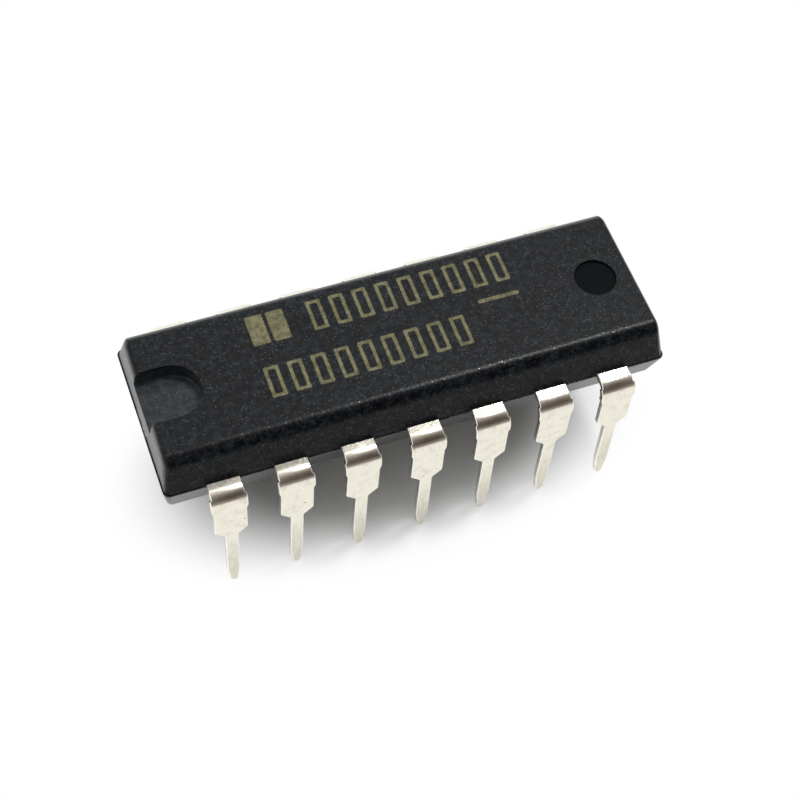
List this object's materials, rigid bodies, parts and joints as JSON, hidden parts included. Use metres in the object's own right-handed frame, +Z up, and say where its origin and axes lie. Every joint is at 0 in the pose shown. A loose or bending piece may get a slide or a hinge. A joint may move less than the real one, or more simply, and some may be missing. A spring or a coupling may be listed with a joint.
{
  "type": "dual in-line package integrated circuit",
  "caption": "Black moulded dual in-line package with two rows of splayed, plated through-hole leads; its lead frame, die and bond wires are inside.",
  "frame": {"origin": "middle of the footprint, level with the tips of the leads", "axes": "+X along the body, away from the notched end; -Y towards leads 1 to 7; +Z up out of the marked top face"},
  "size_m": [0.0196, 0.0088, 0.0073],
  "materials": {
    "moulding": "black epoxy moulding compound, finely pitted with glassy specks",
    "plated_lead": "satin tin plate over copper alloy, warm silver",
    "bare_frame": "bare copper alloy strip",
    "die_paste": "cured silver-filled paste",
    "silicon": "polished silicon",
    "gold_wire": "drawn gold"
  },
  "bodies": {
    "root": {"body": "moulding", "lead_1": "plated_lead", "lead_2": "plated_lead", "lead_3": "plated_lead", "lead_4": "plated_lead", "lead_5": "plated_lead", "lead_6": "plated_lead", "lead_7": "plated_lead", "lead_8": "plated_lead", "lead_9": "plated_lead", "lead_10": "plated_lead", "lead_11": "plated_lead", "lead_12": "plated_lead", "lead_13": "plated_lead", "lead_14": "plated_lead", "die_pad": "bare_frame", "die_attach": "die_paste", "silicon_die": "silicon", "bond_wire_1": "gold_wire", "bond_wire_2": "gold_wire", "bond_wire_3": "gold_wire", "bond_wire_4": "gold_wire", "bond_wire_5": "gold_wire", "bond_wire_6": "gold_wire", "bond_wire_7": "gold_wire", "bond_wire_8": "gold_wire", "bond_wire_9": "gold_wire", "bond_wire_10": "gold_wire", "bond_wire_11": "gold_wire", "bond_wire_12": "gold_wire", "bond_wire_13": "gold_wire", "bond_wire_14": "gold_wire"}
  },
  "joints": []
}
